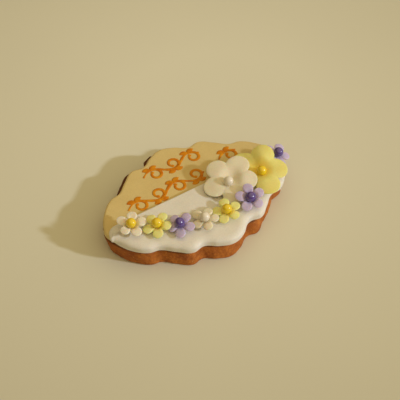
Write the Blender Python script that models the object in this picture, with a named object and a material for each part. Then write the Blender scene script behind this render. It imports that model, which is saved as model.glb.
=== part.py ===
# Iced sugar cookie: a scalloped plaque of baked dough under a tan fondant sheet, with a white
# fondant half sheet over its front, and nine sugar blossoms on that, each with a pearl.
# Metres, +Z up. X runs along the cookie, the white half faces -Y, and the base rests at z = 0.

import bpy
import bmesh
from math import atan2, cos, hypot, pi, radians, sin, sqrt
from mathutils import Matrix, Vector

mm = 0.001

# One quarter of the plaque, in mm, from the end tip over two notches to the middle lobe's crest
quarter_outline = [
    (43.9, 0.0),
    (42.7, 4.8),
    (38.5, 11.4),
    (33.0, 16.1),
    (28.2, 17.3),
    (23.1, 21.5),
    (17.2, 25.6),
    (11.6, 25.1),
    (6.3, 28.3),
    (0.0, 30.3),
]
curve_steps = 4  # straight pieces between two outline points

# Heights of the layers
gap = 0.3 * mm
cookie_height = 8.6 * mm
fondant_bottom = cookie_height + gap
tan_top = 10.9 * mm
white_top = 12.4 * mm

left_end_scale = 0.982  # the end at -X came out of the cutter a little short

# The baked base is smaller than its icing, lies towards its -X end, and leans back from its
# foot to its top
cookie_top_scale = (0.95, 0.975)
cookie_top_offset = (-2.2, 0.9)
cookie_foot_scale = (0.945, 0.97)
cookie_foot_offset = (-0.9, -0.5)
cookie_top_rim = 1.5 * mm
cookie_bottom_rim = 1.0 * mm
# The foot stands back in one front notch and further out in the lobe beside it: place, shift
# and width in mm
foot_shifts = [((33.0, -16.1), (-0.2, 3.6), 6.0), ((38.9, -11.4), (2.1, 0.3), 7.0)]

# The icing sheets
tan_rim = 0.9 * mm
white_rim = 1.5 * mm
white_lower_rim = 0.5 * mm
white_wall = 2.4  # how thick the white sheet is where it comes down outside the tan one, in mm
wall_start = -3.0  # that wall grows to its full thickness over this stretch of Y, in mm
wall_ramp = 4.0
white_back_edge = 1.7  # where its straight edge crosses the cookie, in mm from the middle
white_end = [(36.8, 2.1), (39.6, 1.7), (41.5, 0.3), (42.5, -1.9), (42.9, -4.0)]
cut_rim = 0.5 * mm  # that edge is cut with a knife, so its rim is smaller
cut_end = 38.0 * mm  # towards here, to either side, it turns into the sheet's own rim
cut_blend = 5.0 * mm

# Blossoms: reach of a petal tip, radius of a petal's round end and thickness, all in mm, and the
# share of the reach over which a petal climbs out of the hollow in the middle
small_cut = {"reach": 6.2, "petal": 2.65, "thickness": 1.2, "hollow": 0.6, "segments": 40, "rings": 8}
large_cut = {"reach": 12.6, "petal": 5.1, "thickness": 1.3, "hollow": 0.5, "segments": 60, "rings": 10}
hollow_rise = 0.85  # the share of a petal's height that it gains in the hollow
skin_power = 0.75  # below 1, the petals stay thick almost to their edge
spread_power = 0.85  # below 1, the mesh is closer towards the petal tips
pearl_radius = 2.15 * mm
pearl_segments = 14
pearl_rings = 8
seat_gap = 0.45 * mm  # room under a pearl, more than the gap because the petals have flat facets
seat_rings = 8  # places under a pearl at which its height above the petals is worked out
seat_spokes = 24

# Where each blossom sits: name, cut, colour, pearl colour, centre in mm, the tilt of its face
# and the direction it leans to, the turn of its first petal, and the height that its petals are
# cupped to
blossoms = [
    ("white_1", small_cut, "white", "gold", (-33.2, -3.8, 13.4), 7, -125, 56, 2.1),
    ("yellow_2", small_cut, "yellow", "gold", (-23.9, -9.3, 13.4), 11, -176, 27, 1.5),
    ("purple_3", small_cut, "purple", "violet", (-16.0, -14.2, 13.5), 10, 179, 23, 1.2),
    ("cream_4", small_cut, "cream", "ivory", (-5.8, -17.1, 13.4), 9, 177, 40, 1.4),
    ("yellow_5", small_cut, "yellow", "gold", (4.2, -18.2, 13.4), 9, -174, 74, 1.3),
    ("purple_6", small_cut, "purple", "violet", (15.9, -17.6, 13.5), 14, -114, 73, 2.4),
    ("cream_7", large_cut, "cream", "ivory", (14.6, -4.6, 14.2), 6, -132, 106, 1.5),
    ("yellow_8", large_cut, "yellow", "gold", (28.2, -6.6, 13.5), 5, -137, 117, 2.2),
    ("purple_9", small_cut, "purple", "violet", (40.1, -2.6, 13.4), 13, -50, 114, 0.8),
]

# The large blossoms were pressed into place unevenly: for each petal, anticlockwise, its share
# of that height and of the reach, and how far the pearl lies beside the middle, in mm
uneven = {
    "cream_7": {
        "rises": (0.89, 0.42, 0.28, 1.14, 0.58),
        "reaches": (0.96, 0.98, 0.99, 0.91, 1.06),
        "pearl": (-0.6, 2.0),
    },
    "yellow_8": {
        "rises": (0.32, 0.3, 0.98, 0.51, 1.53),
        "reaches": (1.09, 0.88, 1.11, 0.96, 1.0),
        "pearl": (-1.3, 0.5),
    },
}
even = {"rises": (1, 1, 1, 1, 1), "reaches": (1, 1, 1, 1, 1), "pearl": (0, 0)}

# Base colour, roughness
finishes = {
    "baked_dough": ((0.36, 0.135, 0.045), 0.75),
    "tan_fondant": ((0.60, 0.46, 0.25), 0.55),
    "white_fondant": ((0.86, 0.84, 0.78), 0.5),
    "white": ((0.86, 0.80, 0.72), 0.5),
    "cream": ((0.82, 0.76, 0.60), 0.5),
    "yellow": ((0.82, 0.74, 0.24), 0.5),
    "purple": ((0.42, 0.36, 0.66), 0.5),
    "gold": ((0.85, 0.55, 0.03), 0.25),
    "violet": ((0.10, 0.05, 0.28), 0.22),
    "ivory": ((0.85, 0.80, 0.70), 0.25),
}


def clear_scene():
    for old in list(bpy.data.objects):
        bpy.data.objects.remove(old, do_unlink=True)


def new_collection(name):
    collection = bpy.data.collections.new(name)
    bpy.context.scene.collection.children.link(collection)
    return collection


def make_material(name):
    colour, roughness = finishes[name]
    material = bpy.data.materials.new(name)
    material.use_nodes = True
    shader = material.node_tree.nodes["Principled BSDF"]
    shader.inputs["Base Color"].default_value = (*colour, 1.0)
    shader.inputs["Roughness"].default_value = roughness
    shader.inputs["Metallic"].default_value = 0.0
    return material


def add_object(name, bm, collection, material=None):
    """Turn a finished bmesh into a named object, shaded smooth but for its sharp edges."""
    bmesh.ops.recalc_face_normals(bm, faces=bm.faces)
    mesh = bpy.data.meshes.new(name)
    bm.to_mesh(mesh)
    bm.free()
    mesh.shade_smooth()
    mesh.set_sharp_from_angle(angle=radians(50))
    part = bpy.data.objects.new(name, mesh)
    collection.objects.link(part)
    if material:
        mesh.materials.append(material)
    return part


def mirrored_outline():
    """The whole plaque, anticlockwise from +X: the quarter mirrored in both axes."""
    left_quarter = [(-x * left_end_scale, y) for x, y in quarter_outline]
    right_back = quarter_outline
    left_back = left_quarter[-2::-1]
    left_front = [(x, -y) for x, y in left_quarter[1:]]
    right_front = [(x, -y) for x, y in reversed(quarter_outline[1:-1])]
    return right_back + left_back + left_front + right_front


def moved_in(points, depth_at):
    """Each outline point moved square to the outline, inwards, by depth_at(its place)."""
    moved = []
    for index, (x, y) in enumerate(points):
        before = Vector(points[index - 1])
        after = Vector(points[(index + 1) % len(points)])
        along = (after - before).normalized()
        depth = depth_at(x, y)
        moved.append((x - along.y * depth, y + along.x * depth))
    return moved


def slab(name, points, low, high, collection):
    """A flat sheet between two heights inside a smooth closed outline given in mm."""
    curve = bpy.data.curves.new(name, "CURVE")
    curve.dimensions = "2D"
    curve.fill_mode = "BOTH"
    curve.extrude = (high - low) / 2
    curve.resolution_u = curve_steps
    spline = curve.splines.new("BEZIER")
    spline.bezier_points.add(len(points) - 1)
    for knot, (x, y) in zip(spline.bezier_points, points):
        knot.co = (x * mm, y * mm, 0)
        knot.handle_left_type = "AUTO"
        knot.handle_right_type = "AUTO"
    spline.use_cyclic_u = True
    outline = bpy.data.objects.new(name + "_outline", curve)
    outline.location.z = (low + high) / 2
    collection.objects.link(outline)
    graph = bpy.context.evaluated_depsgraph_get()
    bm = bmesh.new()
    bm.from_mesh(bpy.data.meshes.new_from_object(outline.evaluated_get(graph)))
    bm.transform(outline.matrix_world)
    bpy.data.objects.remove(outline, do_unlink=True)
    bmesh.ops.remove_doubles(bm, verts=bm.verts, dist=0.01 * mm)
    bmesh.ops.dissolve_limit(bm, angle_limit=radians(1), verts=bm.verts, edges=bm.edges)
    return bm


def round_rim(bm, height, width, steps):
    """Round every edge that lies flat at one height."""
    rim = [
        edge
        for edge in bm.edges
        if all(abs(vertex.co.z - height) < 0.01 * mm for vertex in edge.verts)
    ]
    bmesh.ops.bevel(bm, geom=rim, offset=width, segments=steps, profile=0.5, affect="EDGES")


def make_cookie(collection, material):
    bm = slab("cookie_base", mirrored_outline(), 0, cookie_height, collection)
    round_rim(bm, cookie_height, cookie_top_rim, 3)
    round_rim(bm, 0, cookie_bottom_rim, 2)
    for vertex in bm.verts:
        share = vertex.co.z / cookie_height
        drawn = vertex.co.to_2d()
        moved = drawn.copy()
        for place, shift, width in foot_shifts:
            near = max(1 - (drawn / mm - Vector(place)).length / width, 0.0)
            moved += Vector(shift) * near * (1 - share) * mm
        for axis in range(2):
            scale = cookie_foot_scale[axis] * (1 - share) + cookie_top_scale[axis] * share
            offset = cookie_foot_offset[axis] * (1 - share) + cookie_top_offset[axis] * share
            vertex.co[axis] = moved[axis] * scale + offset * mm
    return add_object("cookie_base", bm, collection, material)


def tan_points(grown):
    """The tan sheet's outline: the plaque, drawn in at the front where the white one passes it."""

    def depth(x, y):
        front = min(max((wall_start - y) / wall_ramp, 0.0), 1.0)
        return front * white_wall - grown

    return moved_in(mirrored_outline(), depth)


def make_tan_sheet(collection, material):
    bm = slab("tan_icing", tan_points(0), fondant_bottom, tan_top, collection)
    round_rim(bm, tan_top, tan_rim, 2)
    return add_object("tan_icing", bm, collection, material)


def white_points():
    """The front half of the plaque, closed by a straight edge with round ends."""
    end_foot = white_end[-1][1]
    front = [(x, y) for x, y in mirrored_outline() if y < end_foot]
    right_end = white_end[::-1]
    left_end = [(-x, y) for x, y in white_end]
    straight = [(x, white_back_edge) for x in (30.0, 15.0, 0.0, -15.0, -30.0)]
    return front + right_end + straight + left_end


def sharpen_cut_edge(bm):
    """Draw the upper rim of the straight edge together about its corner."""
    edge = white_back_edge * mm
    for vertex in bm.verts:
        inside = edge - vertex.co.y
        below = white_top - vertex.co.z
        if max(inside, below) < 1.05 * white_rim:
            share = min(max((cut_end - abs(vertex.co.x)) / cut_blend, 0.0), 1.0)
            scale = 1 - share * (1 - cut_rim / white_rim)
            vertex.co.y = edge - inside * scale
            vertex.co.z = white_top - below * scale


def make_white_sheet(collection, cutters, material):
    bm = slab("white_icing", white_points(), fondant_bottom, white_top, collection)
    round_rim(bm, white_top, white_rim, 3)
    round_rim(bm, fondant_bottom, white_lower_rim, 1)
    sharpen_cut_edge(bm)
    sheet = add_object("white_icing", bm, collection, material)

    below = fondant_bottom - 2 * mm
    space = slab("tan_space", tan_points(gap / mm), below, tan_top + gap, cutters)
    round_rim(space, tan_top + gap, tan_rim, 2)
    cutter = add_object("tan_space", space, cutters)
    cutter.hide_render = True
    cutter.display_type = "WIRE"
    cut = sheet.modifiers.new("over_tan_sheet", "BOOLEAN")
    cut.operation = "DIFFERENCE"
    cut.solver = "EXACT"
    cut.object = cutter
    return sheet


def petal_reach(angle, cut):
    """Distance from a blossom's middle to its outline: five petals with round ends."""
    petal = cut["petal"]
    out = cut["reach"] - petal
    across = (angle + pi / 5) % (2 * pi / 5) - pi / 5
    side = petal**2 - (out * sin(across)) ** 2
    return out * cos(across) + sqrt(max(side, 0.0))


def smooth_step(share):
    share = min(max(share, 0.0), 1.0)
    return share * share * (3 - 2 * share)


def between_petals(angle, values):
    """A value in one direction, blended between those of the petals on either side of it."""
    place = (angle % (2 * pi)) / (2 * pi / 5)
    first = int(place) % 5
    blend = smooth_step(place - int(place))
    return values[first] * (1 - blend) + values[(first + 1) % 5] * blend


def petal_rise(angle, share, cut, cup, shape):
    """Height at a share of a petal's reach: steep out of the hollow, then nearly flat."""
    climb = hollow_rise * smooth_step(share / cut["hollow"]) + (1 - hollow_rise) * share
    return cup * between_petals(angle, shape["rises"]) * climb


def make_blossom(name, cut, material, cup, shape, collection):
    """A flattened ball drawn out to five petals and cupped upwards."""
    bm = bmesh.new()
    bmesh.ops.create_uvsphere(bm, u_segments=cut["segments"], v_segments=cut["rings"], radius=1.0)
    for vertex in bm.verts:
        x, y, z = vertex.co
        angle = atan2(y, x)
        even_reach = petal_reach(angle, cut) * hypot(x, y) ** spread_power
        reach = even_reach * between_petals(angle, shape["reaches"])
        rise = petal_rise(angle, even_reach / cut["reach"], cut, cup, shape)
        skin = cut["thickness"] / 2 * (1 if z > 0 else -1) * abs(z) ** skin_power
        vertex.co = Vector((reach * cos(angle), reach * sin(angle), rise + skin)) * mm
    return add_object(name, bm, collection, material)


def pearl_place(cut, cup, shape):
    """The pearl's middle in its blossom: as low as it can lie with that room all round, in mm."""
    clear = (pearl_radius + seat_gap) / mm
    heights = []
    for ring in range(seat_rings):
        for spoke in range(seat_spokes):
            off = clear * ring / seat_rings
            turn = 2 * pi * spoke / seat_spokes
            x = shape["pearl"][0] + off * cos(turn)
            y = shape["pearl"][1] + off * sin(turn)
            angle = atan2(y, x)
            share = hypot(x, y) / between_petals(angle, shape["reaches"]) / cut["reach"]
            petal_top = petal_rise(angle, share, cut, cup, shape) + cut["thickness"] / 2
            heights.append(petal_top + sqrt(clear**2 - off**2))
    return Vector((*shape["pearl"], max(heights)))


def make_pearl(name, material, collection):
    bm = bmesh.new()
    bmesh.ops.create_uvsphere(
        bm, u_segments=pearl_segments, v_segments=pearl_rings, radius=pearl_radius
    )
    return add_object(name, bm, collection, material)


def face_matrix(tilt, toward):
    """Rotation that leans a flat face by tilt degrees towards a direction in plan."""
    lean = radians(tilt)
    heading = radians(toward)
    normal = Vector((sin(lean) * cos(heading), sin(lean) * sin(heading), cos(lean)))
    first = (Vector((1, 0, 0)) - normal * normal.x).normalized()
    second = normal.cross(first)
    return Matrix((first, second, normal)).transposed().to_4x4()


def add_blossoms(collection, materials):
    for name, cut, colour, pearl_colour, centre, tilt, toward, turn, cup in blossoms:
        shape = uneven.get(name, even)
        flower = make_blossom("blossom_" + name, cut, materials[colour], cup, shape, collection)
        turned = Matrix.Rotation(radians(turn), 4, "Z")
        place = Matrix.Translation(Vector(centre) * mm)
        flower.matrix_world = place @ face_matrix(tilt, toward) @ turned
        pearl = make_pearl("pearl_" + name, materials[pearl_colour], collection)
        pearl.parent = flower
        pearl.location = pearl_place(cut, cup, shape) * mm


def stand_at_origin(collection, cutters):
    """Move everything so that the box round it stands centred on the origin."""
    bpy.context.view_layer.update()
    graph = bpy.context.evaluated_depsgraph_get()
    corners = []
    for part in collection.objects:
        solid = part.evaluated_get(graph)
        corners += [solid.matrix_world @ vertex.co for vertex in solid.data.vertices]
    low = Vector(min(corner[axis] for corner in corners) for axis in range(3))
    high = Vector(max(corner[axis] for corner in corners) for axis in range(3))
    middle = (low + high) / 2
    for part in [*collection.objects, *cutters.objects]:
        if part.parent is None:
            part.matrix_world = Matrix.Translation((-middle.x, -middle.y, 0)) @ part.matrix_world


clear_scene()
parts = new_collection("iced_sugar_cookie")
cutters = new_collection("cutters")
materials = {name: make_material(name) for name in finishes}
make_cookie(parts, materials["baked_dough"])
make_tan_sheet(parts, materials["tan_fondant"])
make_white_sheet(parts, cutters, materials["white_fondant"])
add_blossoms(parts, materials)
stand_at_origin(parts, cutters)
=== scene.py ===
# Looks of an iced sugar cookie: a scalloped plaque of baked dough, a tan and a white sugar paste
# sheet, nine sugar blossoms with pearls, and a painted vine. Sizes are in millimetres until they
# go into a mesh, which is in metres.
import bpy
import numpy as np
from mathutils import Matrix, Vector


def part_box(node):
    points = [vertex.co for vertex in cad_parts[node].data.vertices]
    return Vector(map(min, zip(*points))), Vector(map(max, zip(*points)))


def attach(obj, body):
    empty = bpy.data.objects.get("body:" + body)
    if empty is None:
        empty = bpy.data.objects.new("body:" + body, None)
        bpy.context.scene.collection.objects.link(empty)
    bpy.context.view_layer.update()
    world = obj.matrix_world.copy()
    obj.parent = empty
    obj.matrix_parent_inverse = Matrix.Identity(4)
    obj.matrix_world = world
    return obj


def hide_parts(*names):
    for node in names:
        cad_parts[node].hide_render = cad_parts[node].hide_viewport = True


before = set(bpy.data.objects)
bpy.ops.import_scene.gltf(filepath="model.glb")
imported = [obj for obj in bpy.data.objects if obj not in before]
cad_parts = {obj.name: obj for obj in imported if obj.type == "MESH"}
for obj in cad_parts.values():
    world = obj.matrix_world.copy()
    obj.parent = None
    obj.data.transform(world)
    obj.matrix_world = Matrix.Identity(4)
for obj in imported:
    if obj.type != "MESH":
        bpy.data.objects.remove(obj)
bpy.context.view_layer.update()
mm = 0.001
tau = 2 * np.pi
body = "root"
handleDivisor = 2.5614    # a curve's handle is the distance between two points over this
noiseCells = 32           # cells of the noise before it repeats
noiseStart = {"dough": 50, "sheet": 80, "petal": 40, "pearl": 20}   # where in it each piece lies


def tell(words):
    print("cookie:", words)


def smoothStep(share):
    # 3t^2 - 2t^3, held at 0 and 1
    t = np.clip(share, 0, 1)
    return t * t * (3 - 2 * t)


def softNoise(points, cell, seed):
    # Value noise from -1 to 1: random numbers on a lattice of the given cell, blended between
    # its eight corners by 3t^2 - 2t^3
    block = np.random.default_rng(seed).uniform(-1, 1, (noiseCells,) * 3)
    place = np.asarray(points, float) / cell
    low = np.floor(place).astype(int)
    part = smoothStep(place - low)
    total = np.zeros(place.shape[:-1])
    for corner in range(8):
        step = np.array([corner & 1, (corner >> 1) & 1, (corner >> 2) & 1])
        weight = np.where(step, part, 1 - part).prod(-1)
        index = (low + step) % noiseCells
        total += weight * block[index[..., 0], index[..., 1], index[..., 2]]
    return total


def closedCurve(points, steps):
    # A closed cubic Bezier curve through the points. At each point the direction is the sum of
    # the unit directions from and to its neighbours, and a handle is their distance / handleDivisor
    knots = np.asarray(points, float)
    before = knots - np.roll(knots, 1, 0)
    after = np.roll(knots, -1, 0) - knots
    lengthBefore = np.linalg.norm(before, axis=1, keepdims=True)
    lengthAfter = np.linalg.norm(after, axis=1, keepdims=True)
    way = before / lengthBefore + after / lengthAfter
    way /= np.linalg.norm(way, axis=1, keepdims=True)
    outward = knots + way * lengthAfter / handleDivisor
    inward = np.roll(knots - way * lengthBefore / handleDivisor, -1, 0)
    ahead = np.roll(knots, -1, 0)
    t = (np.arange(steps) / steps)[None, :, None]
    curve = ((1 - t) ** 3 * knots[:, None] + 3 * (1 - t) ** 2 * t * outward[:, None]
             + 3 * (1 - t) * t ** 2 * inward[:, None] + t ** 3 * ahead[:, None])
    return curve.reshape(-1, 2)


def evenly(curve, count):
    # The same closed curve as count points at even distances along it
    loop = np.vstack([curve, curve[:1]])
    along = np.concatenate([[0], np.cumsum(np.linalg.norm(np.diff(loop, axis=0), axis=1))])
    want = np.arange(count) / count * along[-1]
    return np.stack([np.interp(want, along, loop[:, axis]) for axis in range(2)], 1)


def inwardWay(curve):
    # Unit vectors square to the closed anticlockwise curve, pointing inwards
    way = np.roll(curve, -1, 0) - np.roll(curve, 1, 0)
    way /= np.linalg.norm(way, axis=1, keepdims=True)
    return np.stack([-way[:, 1], way[:, 0]], 1)


def sheetRows(curve, centre, profile, innerRows):
    # A closed skin round a flat shape, as rows of points from the middle of its underside to the
    # middle of its top. Each profile entry is (distance moved inwards, height), both numbers or
    # one value for each point of the curve. Inside the first and last entry the rows shrink
    # towards the centre, by a share that runs from 1 to 0
    inward = inwardWay(curve)
    rows = []
    for depth, height in profile:
        flat = curve + inward * np.broadcast_to(depth, len(curve))[:, None]
        rows.append(np.column_stack([flat, np.broadcast_to(height, len(curve))]))
    shares = np.linspace(0, 1, innerRows + 1)[1:]
    middle = np.asarray(centre, float)

    def towards(row, share):
        flat = middle + (row[:, :2] - middle) * share
        return np.column_stack([flat, row[:, 2].mean() * (1 - share) + row[:, 2] * share])

    under = [towards(rows[0], share) for share in shares[:-1]]
    over = [towards(rows[-1], share) for share in shares[:-1][::-1]]
    return np.array(under + rows + over)


def roundedEdge(radius, height, steps, upper=True):
    # A quarter circle of the profile: inwards radius (1 - cos a), up or down radius sin a
    turn = np.linspace(0, np.pi / 2, steps)
    depth = radius * (1 - np.cos(turn))
    rise = radius * np.sin(turn)
    if upper:
        return [(d, height - radius + r) for d, r in zip(depth, rise)]
    return [(d, height + radius - r) for d, r in zip(depth, rise)][::-1]


def skinFaces(rowCount, columnCount, offset):
    # Corner numbers of a skin closed round its columns: four-sided faces between rows, and
    # triangles to one point past the first row and one past the last
    column = np.arange(columnCount)
    following = (column + 1) % columnCount
    row = np.arange(rowCount - 1)[:, None] * columnCount
    quads = np.stack([row + column, row + following, row + columnCount + following,
                      row + columnCount + column], -1).reshape(-1, 4)
    firstPole = rowCount * columnCount
    last = (rowCount - 1) * columnCount
    capLow = np.stack([np.full(columnCount, firstPole), following, column], 1)
    capHigh = np.stack([np.full(columnCount, firstPole + 1), last + column, last + following], 1)
    return quads + offset, np.vstack([capLow, capHigh]) + offset


def addPiece(name, skins, material, marks=None):
    # One mesh object from closed skins in mm. Each skin is (rows, columns, 3); marks are the
    # values of named point attributes, as one array for each skin's points and two poles
    corners, quads, triangles, offset = [], [], [], 0
    for rows in skins:
        poles = np.array([rows[0].mean(0), rows[-1].mean(0)])
        corners.append(np.vstack([rows.reshape(-1, 3), poles]))
        four, three = skinFaces(*rows.shape[:2], offset)
        quads.append(four)
        triangles.append(three)
        offset += len(corners[-1])
    corners, quads, triangles = np.vstack(corners) * mm, np.vstack(quads), np.vstack(triangles)
    mesh = bpy.data.meshes.new(name)
    mesh.from_pydata(corners.tolist(), [], quads.tolist() + triangles.tolist())
    mesh.validate()
    mesh.shade_smooth()
    for mark, values in (marks or {}).items():
        layer = mesh.attributes.new(mark, "FLOAT", "POINT")
        layer.data.foreach_set("value", np.concatenate(values).astype(np.float32))
    mesh.materials.append(material)
    piece = bpy.data.objects.new(name, mesh)
    bpy.context.scene.collection.objects.link(piece)
    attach(piece, body)
    return piece


def newGroup(name, inputs):
    # An empty node group with named inputs, and outputs for colour, roughness and height
    group = bpy.data.node_groups.new(name, "ShaderNodeTree")
    kinds = {"value": "NodeSocketFloat", "colour": "NodeSocketColor", "vector": "NodeSocketVector"}
    for label, kind, default in inputs:
        socket = group.interface.new_socket(name=label, in_out="INPUT", socket_type=kinds[kind])
        if default is not None:
            socket.default_value = default
    for label, kind in (("Color", "colour"), ("Roughness", "value"), ("Height", "value")):
        group.interface.new_socket(name=label, in_out="OUTPUT", socket_type=kinds[kind])
    start = group.nodes.new("NodeGroupInput")
    end = group.nodes.new("NodeGroupOutput")
    return group, start, end


def setInputs(tree, node, inputs):
    # Each input is either a plain value or a socket to link
    for name, value in inputs.items():
        if isinstance(value, bpy.types.NodeSocket):
            tree.links.new(value, node.inputs[name])
        else:
            node.inputs[name].default_value = value


def addNode(tree, kind, settings, inputs=None):
    # A node with its settings and inputs
    node = tree.nodes.new(kind)
    for name, value in settings.items():
        setattr(node, name, value)
    setInputs(tree, node, inputs or {})
    return node


def addNoise(tree, vector, scale, detail, roughness):
    # The value of a 3D noise, about 0.5 on average
    return addNode(tree, "ShaderNodeTexNoise", {"noise_dimensions": "3D"},
                   {"Vector": vector, "Scale": scale, "Detail": detail,
                    "Roughness": roughness}).outputs["Fac"]


def addRange(tree, value, fromLow, fromHigh, toLow, toHigh):
    # A value mapped from one range to another, held at both ends
    return addNode(tree, "ShaderNodeMapRange", {"clamp": True},
                   {"Value": value, "From Min": fromLow, "From Max": fromHigh,
                    "To Min": toLow, "To Max": toHigh}).outputs["Result"]


def addMath(tree, operation, first, second):
    return addNode(tree, "ShaderNodeMath", {"operation": operation},
                   {0: first, 1: second}).outputs[0]


def addBlend(tree, share, first, second):
    # Two colours mixed by a share; the colour sockets of the node are its inputs 6 and 7
    return addNode(tree, "ShaderNodeMix", {"data_type": "RGBA"},
                   {0: share, 6: first, 7: second}).outputs[2]


# Each range below is: input from, to, and output from, to
sugarPaste = {
    "cloudScale": 120.0, "clouds": (3.0, 0.55),     # detail and roughness of the noise
    "grainScale": 1800.0, "grain": (2.0, 0.6),
    "tones": (0.36, 0.66, 0.0, 1.0),                # clouds to the share of the second tone
    "dust": (0.35, 0.7, 0.96, 1.03),                # grain to brightness
    "sheen": (0.3, 0.7, 0.42, 0.58),                # clouds to roughness
    "fine": 0.18,                                   # share of the grain in the height
    "specular": 0.35, "bump": (0.35, 0.0002),       # bump: strength, distance in metres
    "bleed": (1.0, 0.7, 0.45), "bleedReach": 0.0012,   # how light spreads inside it
}
bakedCrumb = {
    "cloudScale": 160.0, "clouds": (4.0, 0.6), "crumbScale": 900.0,
    "grainScale": 2600.0, "grain": (3.0, 0.7), "fleckScale": 1500.0, "flecks": (1.0, 0.5),
    "tones": (0.38, 0.64, 0.0, 1.0),                # clouds to the share of the browned tone
    "pits": (0.45, 0.8, 0.0, 0.55),                 # crumbs to the browned tone between them
    "specks": (0.70, 0.76, 0.0, 0.7),               # flecks to the share of the pale tone
    "sheen": (0.3, 0.7, 0.62, 0.85),                # grain to roughness
    "lump": 1.2, "hollow": -0.5, "fine": 0.35,      # shares of clouds, crumbs, grain in the height
    "specular": 0.3, "bump": (0.8, 0.0003),
}


def makePasteGroup():
    # Sugar paste: two tones in soft clouds, a fine powdery grain, and a height made of both
    group, start, end = newGroup(
        "sugarPaste",
        [("Vector", "vector", None), ("Tone", "colour", (0.8, 0.8, 0.8, 1)),
         ("Second Tone", "colour", (0.7, 0.7, 0.7, 1)),
         ("Cloud Scale", "value", sugarPaste["cloudScale"]),
         ("Grain Scale", "value", sugarPaste["grainScale"])])
    where = start.outputs["Vector"]
    clouds = addNoise(group, where, start.outputs["Cloud Scale"], *sugarPaste["clouds"])
    grain = addNoise(group, where, start.outputs["Grain Scale"], *sugarPaste["grain"])
    cloudShare = addRange(group, clouds, *sugarPaste["tones"])
    tone = addBlend(group, cloudShare, start.outputs["Tone"], start.outputs["Second Tone"])
    dust = addRange(group, grain, *sugarPaste["dust"])
    dusted = addNode(group, "ShaderNodeVectorMath", {"operation": "SCALE"},
                     {0: tone, "Scale": dust}).outputs["Vector"]
    fine = addMath(group, "MULTIPLY", grain, sugarPaste["fine"])
    setInputs(group, end, {"Color": dusted, "Height": addMath(group, "ADD", clouds, fine),
                           "Roughness": addRange(group, clouds, *sugarPaste["sheen"])})
    return group


def makeCrumbGroup():
    # Baked dough: golden to red-brown clouds, darker pits between fine crumbs, and a few pale
    # specks where flour or sugar shows
    group, start, end = newGroup(
        "bakedCrumb",
        [("Vector", "vector", None), ("Golden", "colour", (0.4, 0.17, 0.05, 1)),
         ("Browned", "colour", (0.2, 0.06, 0.02, 1)), ("Speck", "colour", (0.7, 0.45, 0.22, 1)),
         ("Crumb Scale", "value", bakedCrumb["crumbScale"])])
    where = start.outputs["Vector"]
    clouds = addNoise(group, where, bakedCrumb["cloudScale"], *bakedCrumb["clouds"])
    crumbs = addNode(group, "ShaderNodeTexVoronoi", {"feature": "F1"},
                     {"Vector": where, "Scale": start.outputs["Crumb Scale"]}).outputs["Distance"]
    grain = addNoise(group, where, bakedCrumb["grainScale"], *bakedCrumb["grain"])
    flecks = addNoise(group, where, bakedCrumb["fleckScale"], *bakedCrumb["flecks"])
    base = addBlend(group, addRange(group, clouds, *bakedCrumb["tones"]),
                    start.outputs["Golden"], start.outputs["Browned"])
    pits = addRange(group, crumbs, *bakedCrumb["pits"])
    pitted = addBlend(group, pits, base, start.outputs["Browned"])
    specked = addBlend(group, addRange(group, flecks, *bakedCrumb["specks"]), pitted,
                       start.outputs["Speck"])
    lump = addMath(group, "MULTIPLY", clouds, bakedCrumb["lump"])
    hollow = addMath(group, "MULTIPLY", crumbs, bakedCrumb["hollow"])
    fine = addMath(group, "MULTIPLY", grain, bakedCrumb["fine"])
    height = addMath(group, "ADD", addMath(group, "ADD", lump, hollow), fine)
    setInputs(group, end, {"Color": specked, "Height": height,
                           "Roughness": addRange(group, grain, *bakedCrumb["sheen"])})
    return group


pasteGroup = makePasteGroup()
crumbGroup = makeCrumbGroup()


def newMaterial(name):
    # A material, its node tree, its shader, and the place on the object
    material = bpy.data.materials.new(name)
    material.use_nodes = True
    tree = material.node_tree
    shader = tree.nodes["Principled BSDF"]
    place = tree.nodes.new("ShaderNodeTexCoord").outputs["Object"]
    return material, tree, shader, place


def addBump(tree, height, strength, distance):
    # The normal that a height gives
    return addNode(tree, "ShaderNodeBump", {},
                   {"Height": height, "Strength": strength, "Distance": distance}).outputs["Normal"]


def addPaste(tree, place, look):
    return addNode(tree, "ShaderNodeGroup", {"node_tree": pasteGroup},
                   {"Vector": place, "Tone": (*look["tone"], 1),
                    "Second Tone": (*look["second"], 1),
                    "Cloud Scale": look.get("cloudScale", sugarPaste["cloudScale"])})


def pasteMaterial(name, look):
    # Sugar paste in two close tones. With a colour of painted shade and painted reflection, the
    # deeper tone of a blossom's hollow round its gold pearl, the piece's own attribute for it, 1 at
    # a blossom's middle, blends it in
    material, tree, shader, place = newMaterial(name)
    paste = addPaste(tree, place, look)
    colour = paste.outputs["Color"]
    if "shadeAndBounce" in look:
        mark = addNode(tree, "ShaderNodeAttribute", {"attribute_name": "shadeAndBounce"}).outputs["Fac"]
        colour = addBlend(tree, mark, colour, (*look["shadeAndBounce"], 1))
    setInputs(tree, shader, {
        "Base Color": colour, "Roughness": paste.outputs["Roughness"],
        "Specular IOR Level": sugarPaste["specular"], "Subsurface Weight": look["glow"],
        "Subsurface Radius": sugarPaste["bleed"], "Subsurface Scale": sugarPaste["bleedReach"],
        "Normal": addBump(tree, paste.outputs["Height"], *sugarPaste["bump"])})
    return material


# The plaque's outline in the part's own drawing, one quarter of it, and how finely it is traced
plaque = {
    "quarter": [(43.9, 0.0), (42.7, 4.8), (38.5, 11.4), (33.0, 16.1), (28.2, 17.3),
                (23.1, 21.5), (17.2, 25.6), (11.6, 25.1), (6.3, 28.3), (0.0, 30.3)],
    "leftScale": 0.982,     # the left end came out of the cutter a little short
    "steps": 24,            # curve points between two of the points above
    "columns": 900,         # points round each sheet and the cookie
}


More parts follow.
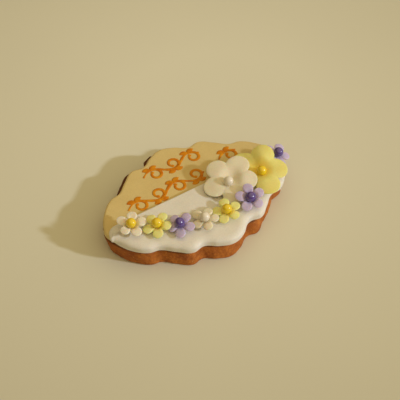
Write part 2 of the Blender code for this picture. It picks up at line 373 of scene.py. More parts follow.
def mirroredPlaque():
    # The quarter mirrored in both axes, anticlockwise from +X
    right = plaque["quarter"]
    left = [(-x * plaque["leftScale"], y) for x, y in right]
    front = [(x, -y) for x, y in left[1:]] + [(x, -y) for x, y in reversed(right[1:-1])]
    return right + left[-2::-1] + front


wholeCurve = evenly(closedCurve(mirroredPlaque(), plaque["steps"]), plaque["columns"])
tanLow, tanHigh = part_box("tan_icing")
tanMiddle = (wholeCurve.max(0) + wholeCurve.min(0)) / 2
# From the part's drawing to the frame, which is centred on the origin
shift = np.array([(tanLow.x + tanHigh.x) / 2 / mm - tanMiddle[0], 0.0])

dough = {
    "height": 8.6, "topRim": 1.5, "bottomRim": 1.0,
    "wallRows": 30, "innerRows": 14, "bottomRimRows": 8, "topRimRows": 9,
    "topScale": (0.95, 0.975), "topShift": (-2.2, 0.9),
    "footScale": (0.945, 0.97), "footShift": (-0.9, -0.5),
    # where the foot stands back or further out: place, shift, width
    "footMoves": [((33.0, -16.1), (-0.2, 3.6), 6.0), ((38.9, -11.4), (2.1, 0.3), 7.0),
                  ((29.5, -16.5), (1.0, -1.2), 9.0)],
    # where the top spread out in baking, and where it is painted dark as shade: from and to which
    # angle, and how far
    "spreads": [(91.0, 107.0, 1.7), (117.0, 149.0, 1.5)],
    "spreadSides": 4.0,     # degrees over which a spread grows from nothing
    "spreadRim": 0.75, "spreadBlend": 0.2,      # only what is beyond this share of the radius
    "lumps": [(4.5, 0.22), (1.6, 0.12), (0.7, 0.07)],   # size of a lump, height of it
    "smoothEdge": 1.2,      # lumps fade out over this height at foot and top
    "golden": (0.57, 0.190, 0.026), "browned": (0.33, 0.088, 0.015), "speck": (0.74, 0.42, 0.16),
    # a dark tone painted as shade on the top of the wall under the icing and on the spread dough
    "shadeTone": (0.13, 0.045, 0.014),
    # painted shade under the icing's overhang: how far the top rim takes that colour, how deep it
    # reaches down, and its soft edge
    "rimShade": 0.8, "rimShadeDeep": 1.4, "rimShadeEdge": 0.8,
    "seed": 11,     # of its noise
}


def crumbMaterial(name, look):
    # Baked dough, with painted shade: a dark tone blended in by the piece's own attribute for it,
    # under the icing's overhang and on the spread dough
    material, tree, shader, place = newMaterial(name)
    crumb = addNode(tree, "ShaderNodeGroup", {"node_tree": crumbGroup},
                    {"Vector": place, "Golden": (*look["golden"], 1),
                     "Browned": (*look["browned"], 1), "Speck": (*look["speck"], 1)})
    mark = addNode(tree, "ShaderNodeAttribute", {"attribute_name": "paintedShade"}).outputs["Fac"]
    colour = addBlend(tree, mark, crumb.outputs["Color"], (*look["shadeTone"], 1))
    setInputs(tree, shader, {
        "Base Color": colour, "Roughness": crumb.outputs["Roughness"],
        "Specular IOR Level": bakedCrumb["specular"],
        "Normal": addBump(tree, crumb.outputs["Height"], *bakedCrumb["bump"])})
    return material


def lumpy(rows, lumps, share, seed):
    # Rows of a skin with noise of several sizes added along its normals, by share at each point
    along = np.roll(rows, -1, 1) - np.roll(rows, 1, 1)
    down = np.gradient(rows, axis=0)
    normal = np.cross(along, down)
    normal /= np.linalg.norm(normal, axis=2, keepdims=True) + 1e-9
    height = sum(softNoise(rows + noiseStart["dough"], size, seed + index) * amount
                 for index, (size, amount) in enumerate(lumps))
    return rows + normal * (height * share)[..., None]


def makeDough():
    # The plaque's outline carried up the wall, rounded at foot and top. Near a place of footMoves
    # the foot moves by (1 - distance / width); between two angles the top spreads outwards, by
    # height^2, and is painted dark as shade there. Then all is scaled and shifted in proportion to
    # its height, and noise on the wall makes it lumpy. The top of the wall, under the icing's
    # overhang, is painted dark as shade too
    top, inner = dough["height"], dough["innerRows"]
    wall = np.linspace(dough["bottomRim"], top - dough["topRim"], dough["wallRows"])[1:-1]
    profile = (roundedEdge(dough["bottomRim"], 0.0, dough["bottomRimRows"], upper=False)
               + [(0.0, z) for z in wall] + roundedEdge(dough["topRim"], top, dough["topRimRows"]))
    rows = sheetRows(wholeCurve, (0, 0), profile, inner)
    share = np.clip(rows[..., 2] / top, 0, 1)
    drawn = rows[..., :2].copy()
    for place, move, width in dough["footMoves"]:
        away = np.linalg.norm(drawn - place, axis=2)
        near = np.clip(1 - away / width, 0, 1) * (1 - share)
        rows[..., :2] += near[..., None] * np.array(move)
    angle = np.degrees(np.arctan2(drawn[..., 1], drawn[..., 0]))
    radius = np.linalg.norm(drawn, axis=2)
    outer = radius / np.linalg.norm(wholeCurve, axis=1)
    edge = smoothStep((outer - dough["spreadRim"]) / dough["spreadBlend"])
    sides = dough["spreadSides"]
    spread = np.zeros_like(angle)
    for start, end, far in dough["spreads"]:
        spread += far * smoothStep((angle - start) / sides) * smoothStep((end - angle) / sides)
    spread *= share ** 2 * edge
    rows[..., :2] += (spread / radius)[..., None] * drawn
    for axis in range(2):
        scale = dough["footScale"][axis] * (1 - share) + dough["topScale"][axis] * share
        move = dough["footShift"][axis] * (1 - share) + dough["topShift"][axis] * share
        rows[..., axis] = rows[..., axis] * scale + move
    rows[..., :2] += shift
    steep = np.zeros(rows.shape[:2])
    height = rows[..., 2]
    steep[inner:-inner] = (np.clip(height / dough["smoothEdge"], 0, 1)
                           * np.clip((top - height) / dough["smoothEdge"], 0, 1))[inner:-inner]
    rows = lumpy(rows, dough["lumps"], steep, dough["seed"])
    # painted shade: a dark tone on the top of the wall under the icing's overhang and on the spread
    # dough
    rim = dough["rimShade"] * smoothStep((rows[..., 2] - top + dough["rimShadeDeep"])
                                         / dough["rimShadeEdge"])
    paintedShade = np.concatenate([np.clip(np.maximum(spread, rim), 0, 1).ravel(), [0.0, 0.0]])
    piece = addPiece("cookie", [rows], crumbMaterial("bakedDough", dough),
                     {"paintedShade": [paintedShade]})
    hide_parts("cookie_base")


tell("cookie")
makeDough()

tanSheet = {
    "low": 8.64, "top": 10.9, "rim": 1.1, "rimRows": 9, "innerRows": 30,
    "foot": [(0.5, 0.0), (0.15, 0.12), (0.0, 0.45)],    # its lower edge: inwards, up
    "wallFrom": 0.6, "wallRows": 3,
    "wave": 0.10, "waveLength": 17.0, "seed": 21,
    "tone": (0.75, 0.59, 0.26), "second": (0.71, 0.55, 0.235), "cloudScale": 90.0, "glow": 0.1,
}
whiteSheet = {
    "low": 8.7, "top": 12.4, "innerRows": 34, "middle": (0, -12),
    "rim": 1.6, "rimReach": 2.9, "rimRows": 12,         # height of its round rim, reach inwards
    # its round lower edge, the most it takes of the wall, its least where no wall hangs, and how
    # far in it turns
    "lowerRim": 0.5, "lowerMost": 0.3, "lowerLeast": 0.3, "lowerReach": 0.6, "lowerRows": 5,
    "rimClear": 0.1, "wallShares": (0.33, 0.66),        # straight wall between the two edges
    # the straight edge, cut with a knife: its rim, where it ends in X, and points along it
    "cutRim": 0.45, "cutEnd": 38.0, "cutBlend": 5.0, "cutSlack": 0.3, "backEdge": 1.7,
    "cutPoints": (30.0, 15.0, 0.0, -15.0, -30.0),
    "end": [(36.8, 2.1), (39.6, 1.7), (41.5, 0.3), (42.5, -1.9), (42.9, -4.0)],
    "wall": 2.4, "wallStart": -3.0, "wallRamp": 4.0,    # its wall, and where in Y it starts
    "wallClear": 0.05, "wallLeast": 0.06, "overTan": 0.02, "thinnest": 0.01,
    "under": [(1.2, 0.0), (0.6, 0.03), (0.0, 0.3)],     # its underside: in from the wall, down
    "wallFoot": [(1.0, 0.5), (0.9, 0.1), (0.6, 0.0)],   # share of the wall, up
    # its front shrank back at the right: how far, between which X, and the Y it takes to start
    "drawnIn": 0.8, "drawnFrom": 4.0, "drawnTo": 33.0, "drawnSides": 4, "drawnDeep": 8,
    "wave": 0.16, "waveLength": 13.0, "seed": 31,
    "tone": (0.85, 0.82, 0.765), "second": (0.82, 0.79, 0.725), "cloudScale": 80.0, "glow": 0.15,
}

# The height that the noise of both sheets is read at, and how strong and fine its second layer is
sheetWaves = {"level": 7.3, "fineShare": 0.4, "finer": 2.7}


def unevenness(x, y, sheet):
    # How far a sheet's top stands above or below its height: wave x (soft noise over the plan
    # + fineShare x the same noise finer)
    flat = np.stack([x, y, np.full_like(x, sheetWaves["level"])], -1) + noiseStart["sheet"]
    fine = softNoise(flat, sheet["waveLength"] / sheetWaves["finer"], sheet["seed"] + 1)
    return sheet["wave"] * (softNoise(flat, sheet["waveLength"], sheet["seed"])
                            + sheetWaves["fineShare"] * fine)


def tanHeight(x, y):
    # Where the tan sheet's top is, which the paint lies on
    return tanSheet["top"] + unevenness(x, y, tanSheet)


def whiteHang(y):
    # Share of the white sheet's wall that hangs down outside the tan sheet, from 0 at wallStart
    return np.clip((whiteSheet["wallStart"] - y) / whiteSheet["wallRamp"], 0, 1)


def makeTanSheet():
    # The plaque, drawn in where the white sheet's wall passes outside it, with a rounded rim
    knots = np.asarray(mirroredPlaque(), float)
    depth = whiteHang(knots[:, 1]) * whiteSheet["wall"]
    curve = closedCurve(knots + inwardWay(knots) * depth[:, None], plaque["steps"])
    curve = evenly(curve, plaque["columns"])
    low, top = tanSheet["low"], tanSheet["top"]
    wall = np.linspace(low + tanSheet["wallFrom"], top - tanSheet["rim"],
                       tanSheet["wallRows"] + 1)[:-1]
    profile = ([(depth, low + up) for depth, up in tanSheet["foot"]] + [(0.0, z) for z in wall]
               + roundedEdge(tanSheet["rim"], top, tanSheet["rimRows"]))
    rows = sheetRows(curve, (0, 0), profile, tanSheet["innerRows"])
    rows[..., :2] += shift
    high = np.clip((rows[..., 2] - low) / (top - low), 0, 1) ** 3
    rows[..., 2] += high * unevenness(rows[..., 0], rows[..., 1], tanSheet)
    piece = addPiece("tanIcing", [rows], pasteMaterial("tanSugarPaste", tanSheet))
    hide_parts("tan_icing")


def makeWhiteSheet(material):
    # The front half of the plaque closed by a straight edge. Its wall hangs down outside the tan
    # sheet at the front, and its underside lies on the tan sheet elsewhere. The upper rim is a
    # quarter ellipse, inwards rimReach (1 - cos a), down rim (1 - sin a), small along the cut edge
    sheet = whiteSheet
    foot = sheet["end"][-1][1]
    front = [(x, y) for x, y in mirroredPlaque() if y < foot]
    straight = [(x, sheet["backEdge"]) for x in sheet["cutPoints"]]
    outline = front + sheet["end"][::-1] + straight + [(-x, y) for x, y in sheet["end"]]
    curve = evenly(closedCurve(outline, plaque["steps"]), plaque["columns"])
    left, right = sheet["drawnFrom"], sheet["drawnTo"]
    along = sheet["drawnSides"] * (curve[:, 0] - left) / (right - left)
    bow = sheet["drawnIn"] * smoothStep(along) * smoothStep(sheet["drawnSides"] - along)
    bow *= smoothStep(-curve[:, 1] / sheet["drawnDeep"])
    curve = curve + inwardWay(curve) * bow[:, None]
    hang = whiteHang(curve[:, 1])
    drop = smoothStep(hang)
    rest = tanSheet["top"] + sheet["overTan"]
    top = sheet["top"]
    low = sheet["low"] * drop + rest * (1 - drop)
    wall = np.maximum(hang * (sheet["wall"] - sheet["wallClear"]), sheet["wallLeast"])
    turn = (np.minimum(sheet["lowerRim"], sheet["lowerMost"] * (top - low))
            * np.clip(drop, sheet["lowerLeast"], 1))
    onCut = (np.clip((sheet["cutEnd"] - np.abs(curve[:, 0])) / sheet["cutBlend"], 0, 1)
             * (curve[:, 1] > sheet["backEdge"] - sheet["cutSlack"]))
    rim = sheet["rim"] + (sheet["cutRim"] - sheet["rim"]) * onCut
    reach = sheet["rimReach"] + (sheet["cutRim"] - sheet["rimReach"]) * onCut
    overTan = np.maximum(rest, low + sheet["thinnest"])
    profile = [(wall + depth, overTan - down * hang) for depth, down in sheet["under"]]
    profile += [(wall * part, low + up * hang) for part, up in sheet["wallFoot"]]
    profile += [(turn * (1 - np.cos(a)) * sheet["lowerReach"], low + turn * (1 - np.sin(a)))
                for a in np.linspace(np.pi / 2, 0, sheet["lowerRows"])]
    start = low + turn
    rimHere = np.minimum(rim, top - start - sheet["rimClear"])
    profile += [(0.0, start + (top - rimHere - start) * share) for share in sheet["wallShares"]]
    profile += [(reach * (1 - np.cos(a)), top - rimHere * (1 - np.sin(a)))
                for a in np.linspace(0, np.pi / 2, sheet["rimRows"])]
    rows = sheetRows(curve, sheet["middle"], profile, sheet["innerRows"])
    rows[..., :2] += shift
    high = np.clip((rows[..., 2] - rest) / (top - rest), 0, 1) ** 2
    rows[..., 2] += high * unevenness(rows[..., 0], rows[..., 1], whiteSheet)
    piece = addPiece("whiteIcing", [rows], material)
    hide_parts("white_icing")


tell("icing sheets")
makeTanSheet()
whiteMaterial = pasteMaterial("whiteSugarPaste", whiteSheet)
makeWhiteSheet(whiteMaterial)

# The two cutters: distance to a petal's tip, radius of its round end, thickness, share of the
# reach that is hollow, and the depths of its creases, waves and swelling
smallCut = {
    "reach": 6.2, "petal": 2.15, "thickness": 1.2, "hollow": 0.6, "columns": 150, "rows": 44,
    "crease": 0.35, "creaseWidth": 0.45, "waver": 0.10, "swell": 0.15,
}
largeCut = {
    "reach": 12.6, "petal": 5.1, "thickness": 1.3, "hollow": 0.5, "columns": 220, "rows": 60,
    "crease": 0.06, "creaseWidth": 1.4, "waver": 0.16, "swell": 0.5,
}
bloom = {
    "hollowRise": 0.85, "skinPower": 0.75, "spreadPower": 0.85, "waverCell": 3.2, "seed": 60,
    "creaseFrom": 0.35, "creaseGrowth": 0.4,    # shares of the way out where creases deepen
    "creaseTop": 3, "creaseEdge": 0.3,          # they fade out round the rim to the underside
    # painted shade and painted reflection of the gold pearl in a blossom's hollow: strength at the
    # middle, share of the reach, how it fades, how far under
    "shadeBounceCore": 1.15, "shadeBounceReach": 0.45, "shadeBounceFade": 1.2, "shadeBounceUnder": -0.2,
    "white": {"tone": (0.88, 0.82, 0.70), "second": (0.85, 0.78, 0.65), "glow": 0.5},
    "cream": {"tone": (0.86, 0.80, 0.64), "second": (0.83, 0.76, 0.59), "glow": 0.5},
    # the yellow blossoms' deeper orange-yellow round the gold pearl is painted shade and painted
    # reflection of the pearl
    "yellow": {"tone": (0.88, 0.82, 0.30), "second": (0.85, 0.78, 0.25), "glow": 0.5,
               "shadeAndBounce": (0.88, 0.62, 0.015)},
    "paleYellow": {"tone": (0.92, 0.90, 0.39), "second": (0.89, 0.86, 0.33), "glow": 0.5,
                   "shadeAndBounce": (0.88, 0.62, 0.015)},
    "purple": {"tone": (0.62, 0.54, 0.79), "second": (0.57, 0.49, 0.74), "glow": 0.5},
}
# Name, cut, colour, pearl colour, centre, tilt and the way it leans to, turn of its first petal,
# and the height that its petals are cupped to
blossoms = [
    ("white_1", smallCut, "white", "gold", (-33.2, -3.8, 13.4), 7, -125, 56, 2.1),
    ("yellow_2", smallCut, "paleYellow", "gold", (-23.9, -9.3, 13.4), 11, -176, 27, 1.5),
    ("purple_3", smallCut, "purple", "violet", (-16.0, -14.2, 13.5), 10, 179, 23, 1.2),
    ("cream_4", smallCut, "cream", "ivory", (-5.8, -17.1, 13.4), 9, 177, 40, 1.4),
    ("yellow_5", smallCut, "paleYellow", "gold", (4.2, -18.2, 13.4), 9, -174, 74, 1.3),
    ("purple_6", smallCut, "purple", "violet", (15.9, -17.6, 13.5), 14, -114, 73, 2.4),
    ("cream_7", largeCut, "cream", "ivory", (14.6, -4.6, 14.2), 6, -132, 106, 1.5),
    ("yellow_8", largeCut, "yellow", "gold", (28.2, -6.6, 13.5), 5, -137, 117, 2.2),
    ("purple_9", smallCut, "purple", "violet", (40.1, -2.6, 13.4), 13, -50, 114, 0.8),
]
# The petals are uneven: their shares of that height, then of the reach
uneven = {
    "white_1": ((1.0, 1.35, 1.05, 0.95, 1.2), (1.0, 1.02, 0.92, 1.02, 1.04)),
    "yellow_2": ((1.0, 1.0, 0.9, 0.8, 1.15), (1.0, 0.97, 1.03, 1.05, 0.98)),
    "purple_3": ((1.2, 0.9, 0.85, 0.95, 0.7), (1.0, 0.95, 0.87, 1.03, 1.0)),
    "cream_4": ((0.8, 1.15, 0.75, 1.1, 1.1), (0.94, 1.02, 0.93, 0.97, 0.94)),
    "yellow_5": ((1.15, 1.05, 0.85, 1.1, 0.85), (1.04, 1.03, 1.0, 0.96, 1.0)),
    "purple_6": ((1.25, 1.35, 0.85, 0.95, 1.2), (1.04, 1.06, 1.03, 0.98, 1.02)),
    "purple_9": ((1.3, 1.0, 1.0, 0.8, 1.15), (1.05, 1.0, 1.0, 0.9, 1.04)),
    "cream_7": ((0.89, 0.42, 0.28, 1.14, 0.58), (0.96, 0.98, 0.99, 0.91, 1.06)),
    "yellow_8": ((0.32, 0.3, 0.98, 0.51, 1.53), (1.09, 0.88, 1.11, 0.96, 1.0)),
}


def faceWays(tilt, toward, turn):
    # Unit vectors of a face that leans by tilt towards a direction: its first is the X axis laid
    # on the face and turned by turn, its second square to that, its third the normal
    lean, heading, turned = np.radians([tilt, toward, turn])
    normal = np.array([np.sin(lean) * np.cos(heading), np.sin(lean) * np.sin(heading),
                       np.cos(lean)])
    first = np.array([1.0, 0, 0]) - normal * normal[0]
    first /= np.linalg.norm(first)
    second = np.cross(normal, first)
    return np.array([first * np.cos(turned) + second * np.sin(turned),
                     second * np.cos(turned) - first * np.sin(turned), normal])


def petalReach(angle, cut):
    # Distance to the outline of five round petal ends, with a the angle from the nearest one's
    # middle: out cos a + sqrt(petal^2 - (out sin a)^2)
    petal = cut["petal"]
    out = cut["reach"] - petal
    across = (angle + np.pi / 5) % (tau / 5) - np.pi / 5
    side = np.maximum(petal ** 2 - (out * np.sin(across)) ** 2, 0)
    return out * np.cos(across) + np.sqrt(side)


def betweenPetals(angle, values):
    # A value in one direction, blended by 3t^2 - 2t^3 between the petals on either side
    place = (angle % tau) / (tau / 5)
    first = np.floor(place).astype(int) % 5
    t = smoothStep(place - np.floor(place))
    values = np.asarray(values, float)
    return values[first] * (1 - t) + values[(first + 1) % 5] * t


def blossomRows(cut, cup, rises, reaches, seed):
    # A flattened ball: reach x sin^spread outwards, and upwards cup x (k smooth(s / hollow)
    # + (1 - k) s), with s its share of the reach, plus half the thickness x |cos|^skin. The
    # petals swell by swell x sin(pi s)^2 half way out, and soft creases run between them, as
    # crease x exp(-(distance / creaseWidth)^2)
    angle = np.arange(cut["columns"]) / cut["columns"] * tau
    turn = np.linspace(0, np.pi, cut["rows"] + 2)[1:-1][:, None]
    rho = np.sin(turn) ** bloom["spreadPower"]
    side = -np.cos(turn)
    evenReach = petalReach(angle, cut)[None, :] * rho
    reach = evenReach * betweenPetals(angle, reaches)
    share = evenReach / cut["reach"]
    climb = (bloom["hollowRise"] * smoothStep(share / cut["hollow"])
             + (1 - bloom["hollowRise"]) * share)
    rise = cup * betweenPetals(angle, rises) * climb
    skin = cut["thickness"] / 2 * np.sign(side) * np.abs(side) ** bloom["skinPower"]
    fromNotch = (angle % (tau / 5)) - np.pi / 5
    offCrease = reach * np.sin(fromNotch)[None, :]
    window = smoothStep((rho - bloom["creaseFrom"]) / bloom["creaseGrowth"])
    upper = np.clip(side * bloom["creaseTop"] + bloom["creaseEdge"], 0, 1)
    crease = -cut["crease"] * np.exp(-(offCrease / cut["creaseWidth"]) ** 2) * window * upper
    x = reach * np.cos(angle)
    y = reach * np.sin(angle)
    flat = np.stack([x, y, np.zeros_like(x)], -1) + noiseStart["petal"]
    waver = softNoise(flat, bloom["waverCell"], seed) * cut["waver"] * rho
    swell = cut["swell"] * np.sin(np.pi * np.clip(share, 0, 1)) ** 2
    rows = np.stack([x, y, rise + skin + crease + waver + swell], -1)
    # painted shade and painted reflection round the pearl: 1 at the middle of the top, fading
    # outwards, none on most of the underside
    shadeBounceShare = np.clip(bloom["shadeBounceCore"] - reach / (bloom["shadeBounceReach"] * cut["reach"]), 0, 1)
    return rows, shadeBounceShare ** bloom["shadeBounceFade"] * (side > bloom["shadeBounceUnder"])


pearl = {
    "radius": 2.15, "columns": 48, "rows": 30, "seed": 80,
    "waver": 0.03, "waverScale": 2, "waverCell": 1.1,   # it isn't quite round
    "sink": 0.35, "sinkLarge": 1.0,     # how deep the ball is pressed into its blossom
    "coat": 0.7, "coatRoughness": 0.10, "cloudScale": 500.0, "bump": (0.15, 0.0001),
    "gold": {"tone": (0.95, 0.71, 0.008), "second": (0.90, 0.62, 0.004), "roughness": 0.25,
             "coatIor": 1.8},
    "violet": {"tone": (0.105, 0.055, 0.34), "second": (0.075, 0.038, 0.27), "roughness": 0.2,
               "coatIor": 1.9},
    "ivory": {"tone": (0.88, 0.82, 0.70), "second": (0.85, 0.77, 0.64), "roughness": 0.3,
              "coatIor": 1.5},
}


def pearlMaterial(name, look):
    # A sugar ball: cloudy colour under a shiny coat
    material, tree, shader, place = newMaterial(name)
    paste = addPaste(tree, place, {**look, "cloudScale": pearl["cloudScale"]})
    setInputs(tree, shader, {
        "Base Color": paste.outputs["Color"], "Roughness": look["roughness"],
        "Coat Weight": pearl["coat"], "Coat Roughness": pearl["coatRoughness"],
        "Coat IOR": look["coatIor"],
        "Normal": addBump(tree, paste.outputs["Height"], *pearl["bump"])})
    return material


def pearlRows(seed):
    # A ball, r (1 + small noise), as rows from its lowest point to its highest
    turn = np.linspace(0, np.pi, pearl["rows"] + 2)[1:-1][:, None]
    angle = np.arange(pearl["columns"]) / pearl["columns"] * tau
    ball = np.stack([np.sin(turn) * np.cos(angle), np.sin(turn) * np.sin(angle),
                     -np.cos(turn) * np.ones_like(angle)], -1)
    noise = softNoise(ball * pearl["waverScale"] + noiseStart["pearl"], pearl["waverCell"], seed)
    return ball * (pearl["radius"] + pearl["waver"] * noise)[..., None]


# The icing that each blossom sits on: its radius under a small and a large one, how uneven it is,
# how far the blossom is pressed in, how deep it starts in the sheet, and the least gap it fills
dab = {
    "small": 2.0, "large": 3.2, "wobble": 0.08, "waves": 3, "bite": 0.25, "sunk": 0.12,
    "least": 0.1, "rows": 9, "columns": 40, "taper": 0.85,
}


def dabRows(x, y, foot, head, radius, seed):
    # A low mound of icing between two heights: radius x cos(taper t) outwards at sin t of the way
    # up, with a few waves round it
    turn = np.linspace(0, np.pi / 2, dab["rows"])[:, None]
    angle = np.arange(dab["columns"]) / dab["columns"] * tau
    wobble = 1 + dab["wobble"] * np.sin(dab["waves"] * angle + seed)
    shape = np.cos(turn * dab["taper"]) * radius * wobble
    return np.stack([x + shape * np.cos(angle), y + shape * np.sin(angle),
                     foot + (head - foot) * np.sin(turn) * np.ones_like(angle)], -1)


def addBlossoms():
    # Each blossom with its pearl, and an icing dab where it stands clear of the white sheet
    petals = {colour: pasteMaterial("blossom" + colour[0].upper() + colour[1:], bloom[colour])
              for colour in ("white", "cream", "yellow", "paleYellow", "purple")}
    balls = {colour: pearlMaterial("pearl" + colour.capitalize(), pearl[colour])
             for colour in ("gold", "violet", "ivory")}
    dabs = []
    underRows = 12      # rows of a blossom that are its underside near the middle
    for number, (name, cut, colour, pearlColour, centre, *pose, cup) in enumerate(blossoms):
        ways = faceWays(*pose)
        centre = np.array(centre) + [*shift, 0.0]
        rows, shadeAndBounce = blossomRows(cut, cup, *uneven[name], bloom["seed"] + number)
        placed = rows @ ways + centre
        marks = [np.concatenate([shadeAndBounce.ravel(), [0.0, 1.0]])]
        flower = addPiece("flower_" + name, [placed], petals[colour], {"shadeAndBounce": marks})
        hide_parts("blossom_" + name)
        low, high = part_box("pearl_" + name)
        sink = pearl["sink" if cut is smallCut else "sinkLarge"]
        middle = np.array((low + high) / 2) / mm - ways[2] * sink
        ball = pearlRows(pearl["seed"] + number) @ ways + middle
        bead = addPiece("sugarPearl_" + name, [ball], balls[pearlColour])
        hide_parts("pearl_" + name)
        head = placed[:underRows, :, 2].min() + dab["bite"]
        foot = whiteSheet["top"] - dab["sunk"]
        if head > foot + dab["least"]:
            reach = dab["small" if cut is smallCut else "large"]
            dabs.append(dabRows(*centre[:2], foot, head, reach, number))
    addPiece("icingDabs", dabs, whiteMaterial)


tell("blossoms and pearls")
addBlossoms()

paint = {
    "thin": (0.75, 0.315, 0.011), "thick": (0.62, 0.170, 0.003),
    "strokeScale": 500.0, "strokes": (3.0, 0.6),    # scale, detail and roughness of the noise
    "tones": (0.35, 0.65, 0.0, 1.0), "sheen": (0.3, 0.7, 0.5, 0.3),
    "specular": 0.15, "bump": (0.4, 0.0002),
    "wide": 0.68, "relief": 0.22, "sunk": 0.06,   # half the stroke's width, its height and depth
    "around": 10, "thinnest": 0.15,         # points round a stroke, least share of its width
    # shares of the width at start, middle and end, and how many points long each stroke is
    "stemShares": (0.5, 1.05, 0.4), "curlShares": (1.0, 1.05, 0.8), "leafShares": (0.5, 1.9, 0.1),
    "stemSteps": 50, "curlSteps": 70, "leafSteps": 24, "dotSteps": 15,
    "pulses": 7, "pulse": 0.12,             # how the brush presses along a stem
    "curl": 2.5, "curlTurns": 0.9, "tighten": 1.3, "bulb": 0.8,   # of a curl; dot in it
    "leaf": 4.0, "leafLean": 0.75, "leafBend": 0.9,     # length, angles in radians
}
# A running vine in rows, in the part's drawing: where a row starts and ends, how high its stem
# swings, and how many half waves it has
vines = [
    {"from": (-29.0, 6.4), "to": (9.5, 8.6), "swing": 2.3, "halves": 4},
    {"from": (-14.5, 19.0), "to": (14.0, 19.4), "swing": 2.3, "halves": 3},
    {"from": (19.0, 11.0), "to": (28.5, 12.4), "swing": 2.0, "halves": 1},
]


def paintMaterial(name, look):
    # Brushed food paint: thicker, darker orange where the brush dwelt, thinner elsewhere
    material, tree, shader, place = newMaterial(name)
    strokes = addNoise(tree, place, look["strokeScale"], *look["strokes"])
    colour = addBlend(tree, addRange(tree, strokes, *look["tones"]),
                      (*look["thin"], 1), (*look["thick"], 1))
    setInputs(tree, shader, {
        "Base Color": colour, "Roughness": addRange(tree, strokes, *look["sheen"]),
        "Specular IOR Level": look["specular"],
        "Normal": addBump(tree, strokes, *look["bump"])})
    return material


def strokeRows(path, shares):
    # A brush stroke along a path in plan: at each point a flat lens, its half width cos a across
    # and relief sin a up, laid on the tan sheet. Shares are of the usual half width
    way = np.gradient(path, axis=0)
    way /= np.linalg.norm(way, axis=1, keepdims=True)
    across = np.stack([-way[:, 1], way[:, 0]], 1)
    angle = -np.arange(paint["around"]) / paint["around"] * tau
    width = paint["wide"] * shares
    flat = (path[:, None, :] + across[:, None, :] * (width[:, None] * np.cos(angle))[..., None]
            + shift)
    lift = np.where(np.sin(angle) > 0, paint["relief"], paint["sunk"]) * np.sin(angle)
    height = tanHeight(flat[..., 0], flat[..., 1]) + lift * np.sqrt(np.minimum(shares, 1))[:, None]
    return np.concatenate([flat, height[..., None]], -1)


def swept(count, start, middle, end):
    # Shares of the usual half width along a stroke: a parabola through three values
    t = np.linspace(0, 1, count)
    share = start * (1 - t) * (1 - 2 * t) + 4 * middle * t * (1 - t) + end * t * (2 * t - 1)
    return np.maximum(share, paint["thinnest"])


def turningPath(foot, heading, length, bend, tighten, count):
    # A path of some length that leaves its foot along the heading and turns by bend in all:
    # heading + bend t^tighten
    t = np.linspace(0, 1, count)
    angle = heading + bend * t ** tighten
    step = np.stack([np.cos(angle), np.sin(angle)], 1) * (length / count)
    return np.asarray(foot) + np.cumsum(step, 0) - step[0]


def dotRows(place, radius, seed):
    # A round dab: a short stroke that is as wide as it is long, sqrt(1 - t^2) of its radius
    t = np.linspace(-1, 1, paint["dotSteps"])
    path = np.asarray(place) + np.outer(t * radius, [np.cos(seed), np.sin(seed)])
    pointed = 0.1       # its ends don't quite close to nothing
    return strokeRows(path, np.maximum(np.sqrt(1 - t ** 2), pointed) * radius / paint["wide"])


def vineStrokes(vine):
    # The stem is a sine along the row. At each crest a curl leaves it to the hollow side, turning
    # the same way as the stem and ending in a dot, and two leaves grow on the outer side
    start, end = np.array(vine["from"]), np.array(vine["to"])
    along = (end - start) / np.linalg.norm(end - start)
    side = np.array([-along[1], along[0]])
    heading = np.arctan2(along[1], along[0])
    count = paint["stemSteps"] * vine["halves"]
    t = np.linspace(0, 1, count)
    wave = vine["swing"] * np.sin(t * vine["halves"] * np.pi)
    stem = start + np.outer(t, end - start) + np.outer(wave, side)
    pressed = paint["pulse"] * np.cos(tau * paint["pulses"] * t)
    strokes = [strokeRows(stem, swept(count, *paint["stemShares"]) + pressed)]
    for half in range(vine["halves"]):
        up = 1 if half % 2 == 0 else -1
        crest = stem[int((half + 0.5) / vine["halves"] * count)]
        turn = -up * tau * paint["curlTurns"]
        curl = turningPath(crest, heading, paint["curl"] * abs(turn), turn, paint["tighten"],
                           paint["curlSteps"])
        strokes.append(strokeRows(curl, swept(len(curl), *paint["curlShares"])))
        strokes.append(dotRows(curl[-1], paint["bulb"], half))
        for lean, bend in ((paint["leafLean"], -paint["leafBend"]),
                           (np.pi - paint["leafLean"], paint["leafBend"])):
            leaf = turningPath(crest, heading + up * lean, paint["leaf"], up * bend, 1.0,
                               paint["leafSteps"])
            strokes.append(strokeRows(leaf, swept(len(leaf), *paint["leafShares"])))
    return strokes


def paintVines():
    # All strokes of all rows as one piece
    strokes = [stroke for vine in vines for stroke in vineStrokes(vine)]
    addPiece("vineOrnament", strokes, paintMaterial("orangePaint", paint))


tell("painted vine")
paintVines()

view = {
    "aim": (-0.62, 0.82, 5.0), "azimuth": -32.2, "elevation": 49.0, "distance": 409.36,
    "sideways": 1.72, "lens": 85.68, "sensor": 36.0, "nearest": 0.01,      # the last in metres
}
# A low key lamp, a wide soft one overhead, and the little light that comes from all sides
studio = {
    "key": {"azimuth": -46.0, "elevation": 25.2, "strength": 1.50, "colour": (0.86, 0.90, 1.0),
            "angle": 3.0},
    "soft": {"azimuth": -30.0, "elevation": 69.0, "strength": 1.47,
             "colour": (1.0, 0.795, 0.43), "angle": 120.0},
    "room": (0.143, 0.114, 0.062),
}
# The floor's sizes are in metres
floorLook = {
    # the floor's tone is a painted pool of light: near at the brightest place, far away from it
    "side": 3.0, "near": (0.775, 0.76, 0.625), "far": (0.62, 0.60, 0.47),
    "brightest": (0.038, 0.040, 0.0),       # the place on the floor where it is lightest
    "nearReach": 0.050, "farReach": 0.185,  # distances from it where each tone is reached
    "cloudScale": 6.0, "clouds": (2.0, 0.5), "uneven": (0.3, 0.7, 0.985, 1.015),
    "roughness": 0.9, "specular": 0.1,
}


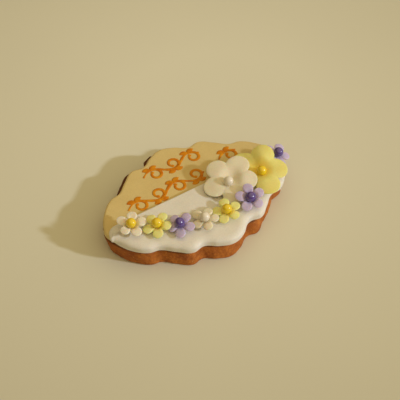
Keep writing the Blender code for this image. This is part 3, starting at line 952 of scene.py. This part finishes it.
def addCamera():
    # The camera looks at the aim from a direction, moved sideways without turning
    azimuth, elevation = np.radians([view["azimuth"], view["elevation"]])
    back = Vector((np.sin(azimuth) * np.cos(elevation), -np.cos(azimuth) * np.cos(elevation),
                   np.sin(elevation)))
    right = Vector((np.cos(azimuth), np.sin(azimuth), 0))
    lens = bpy.data.cameras.new("camera")
    lens.lens = view["lens"]
    lens.sensor_width = view["sensor"]
    lens.clip_start = view["nearest"]
    camera = bpy.data.objects.new("camera", lens)
    place = Vector(view["aim"]) + back * view["distance"] + right * view["sideways"]
    camera.location = place * mm
    camera.rotation_mode = "QUATERNION"
    camera.rotation_quaternion = (-back).to_track_quat("-Z", "Y")
    bpy.context.scene.collection.objects.link(camera)
    bpy.context.scene.camera = camera


def addSun(name, look):
    # A distant lamp in a direction given as its angle round Z from +X and its angle up
    a, e = np.radians([look["azimuth"], look["elevation"]])
    toLamp = Vector((np.cos(a) * np.cos(e), np.sin(a) * np.cos(e), np.sin(e)))
    lamp = bpy.data.lights.new(name, "SUN")
    lamp.energy = look["strength"]
    lamp.color = look["colour"]
    lamp.angle = np.radians(look["angle"])
    holder = bpy.data.objects.new(name, lamp)
    holder.rotation_mode = "QUATERNION"
    holder.rotation_quaternion = toLamp.to_track_quat("Z", "Y")
    bpy.context.scene.collection.objects.link(holder)


def addFloor():
    # A plain floor with a painted pool of light: its tone runs from near to far with the distance
    # from the cookie
    side = floorLook["side"]
    mesh = bpy.data.meshes.new("floor")
    mesh.from_pydata([(-side, -side, 0), (side, -side, 0), (side, side, 0), (-side, side, 0)], [],
                     [(0, 1, 2, 3)])
    material, tree, shader, place = newMaterial("paleFloor")
    away = addNode(tree, "ShaderNodeVectorMath", {"operation": "DISTANCE"},
                   {0: place, 1: floorLook["brightest"]}).outputs["Value"]
    share = addRange(tree, away, floorLook["nearReach"], floorLook["farReach"], 0.0, 1.0)
    tone = addBlend(tree, share, (*floorLook["near"], 1), (*floorLook["far"], 1))
    clouds = addNoise(tree, place, floorLook["cloudScale"], *floorLook["clouds"])
    cloud = addRange(tree, clouds, *floorLook["uneven"])
    clouded = addNode(tree, "ShaderNodeVectorMath", {"operation": "SCALE"},
                      {0: tone, "Scale": cloud}).outputs["Vector"]
    setInputs(tree, shader, {"Base Color": clouded, "Roughness": floorLook["roughness"],
                             "Specular IOR Level": floorLook["specular"]})
    mesh.materials.append(material)
    floor = bpy.data.objects.new("floor", mesh)
    bpy.context.scene.collection.objects.link(floor)


def addStudio():
    world = bpy.data.worlds.new("room")
    world.use_nodes = True
    setInputs(world.node_tree, world.node_tree.nodes["Background"],
              {"Color": (*studio["room"], 1)})
    bpy.context.scene.world = world
    addSun("key", studio["key"])
    addSun("soft", studio["soft"])
    addFloor()
    bpy.context.scene.view_settings.view_transform = "Standard"


tell("camera, light and floor")
addCamera()
addStudio()

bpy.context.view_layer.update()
tell("done")
